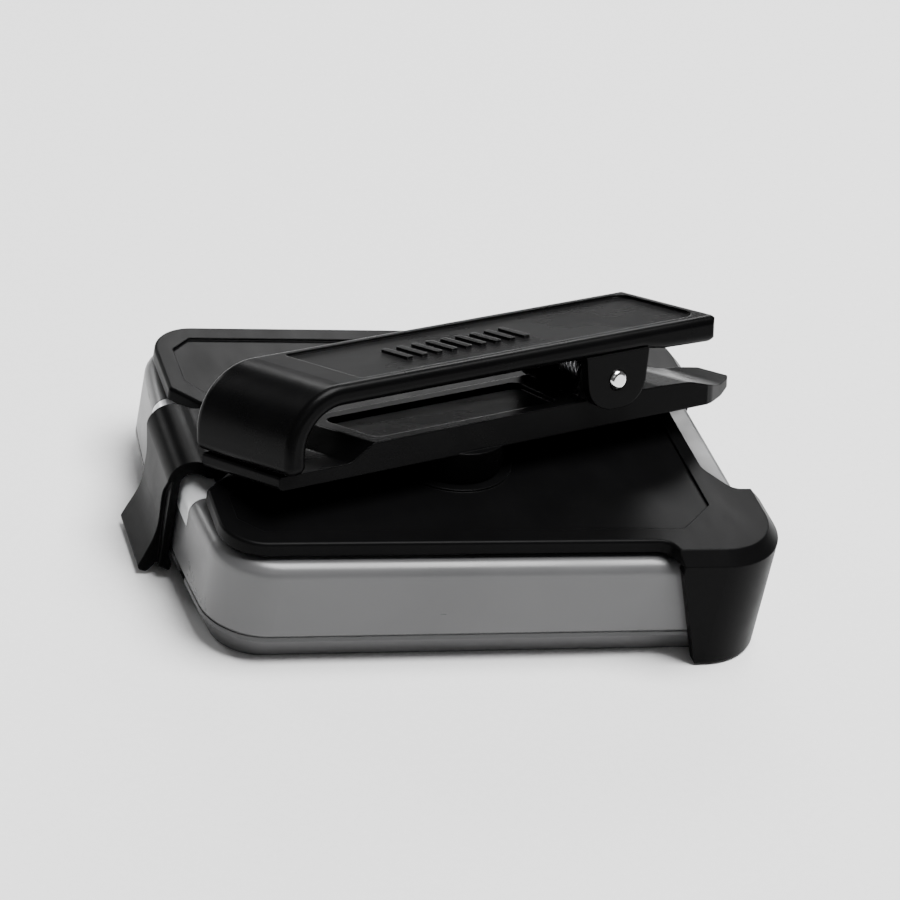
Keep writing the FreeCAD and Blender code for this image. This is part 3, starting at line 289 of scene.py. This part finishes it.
def frosted_lens():
    m = Mat("alert_lens")
    frost = m.noise(4200.0, 3.0, 0.6)
    cloud = m.noise(400.0, 3.0, 0.5)
    edge, rounded = m.edge(0.0003)
    col = m.mix(m.ramp(cloud, 0.0, 1.0, 0.3, 0.7), (0.80, 0.81, 0.82), (0.88, 0.89, 0.90))
    return m.finish(col, m.ramp(frost, 0.16, 0.26, 0.3, 0.7), 0.0, 0.5, m.bump(frost, 0.08, 0.00005, rounded), 0.4, 0.05, Transmission_Weight=0.12, IOR=1.49)


mats["alert_lens"] = frosted_lens()

slot_of = {s["node"]: s["material_slot"] for s in frame["record"]["subparts"]}
for name, ob in NODES.items():
    m = mats[slot_of[name]]
    for k in range(len(ob.material_slots)):
        ob.material_slots[k].material = m
    if not ob.material_slots:
        ob.data.materials.append(m)

# ---------------------------------------------------------------- floor, lights, camera
me = bpy.data.meshes.new("floor")
bm = bmesh.new()
vs = [bm.verts.new((x, y, -0.00002)) for x, y in ((-6, -6), (6, -6), (6, 6), (-6, 6))]
bm.faces.new(vs)
bm.to_mesh(me)
bm.free()
floor = bpy.data.objects.new("floor", me)
bpy.context.scene.collection.objects.link(floor)
fm = Mat("floor_paper")
fib = fm.noise(900.0, 4.0, 0.6)
fm.finish(fm.mix(fm.ramp(fib, 0.0, 1.0, 0.3, 0.7), (0.84, 0.84, 0.84), (0.87, 0.87, 0.87)), 0.9, 0.0, 0.2, fm.bump(fib, 0.05, 0.0001))
me.materials.append(fm.m)

world = bpy.data.worlds.new("studio")
bpy.context.scene.world = world
world.use_nodes = True
bg = world.node_tree.nodes["Background"]
bg.inputs[0].default_value = (1.0, 1.0, 1.0, 1.0)
bg.inputs[1].default_value = 0.12


def area(name, loc, target, size, power, size_y=None):
    d = bpy.data.lights.new(name, "AREA")
    d.energy = power
    d.shape = "RECTANGLE"
    d.size = size
    d.size_y = size_y or size
    o = bpy.data.objects.new(name, d)
    o.location = loc
    o.rotation_mode = "QUATERNION"
    o.rotation_quaternion = (Vector(target) - Vector(loc)).to_track_quat("-Z", "Y")
    bpy.context.scene.collection.objects.link(o)
    return o


area("key_top", (0.28, -0.10, 1.20), (0.0, 0.0, 0.0), 0.80, 42.0, 0.70)
area("rim_back", (0.36, 1.20, 0.66), (0.0, 0.0, 0.02), 0.90, 11.0, 0.26)
area("rim_left", (-0.80, 1.20, 0.50), (0.0, 0.0, 0.01), 0.45, 5.0, 0.26)
area("front_soft", (-0.15, -1.20, 1.00), (0.0, 0.0, 0.01), 0.90, 1.0, 0.35)

cam_data = bpy.data.cameras.new("camera")
cam = bpy.data.objects.new("camera", cam_data)
bpy.context.scene.collection.objects.link(cam)
bpy.context.scene.camera = cam
cam_data.sensor_width = 36.0
cam_data.lens = 140.0
cam_data.clip_start = 0.01
cam_data.clip_end = 50.0
C = Vector((-0.1678, -0.4160, 0.2935))
T = Vector((0.0005, 0.0, 0.0164))
fwd = (T - C).normalized()
right = (Vector((1, 0, 0)) - fwd * fwd.x).normalized()
up = right.cross(fwd)
cam.matrix_world = Matrix((
    (right.x, up.x, -fwd.x, C.x),
    (right.y, up.y, -fwd.y, C.y),
    (right.z, up.z, -fwd.z, C.z),
    (0.0, 0.0, 0.0, 1.0)))

bpy.context.view_layer.update()
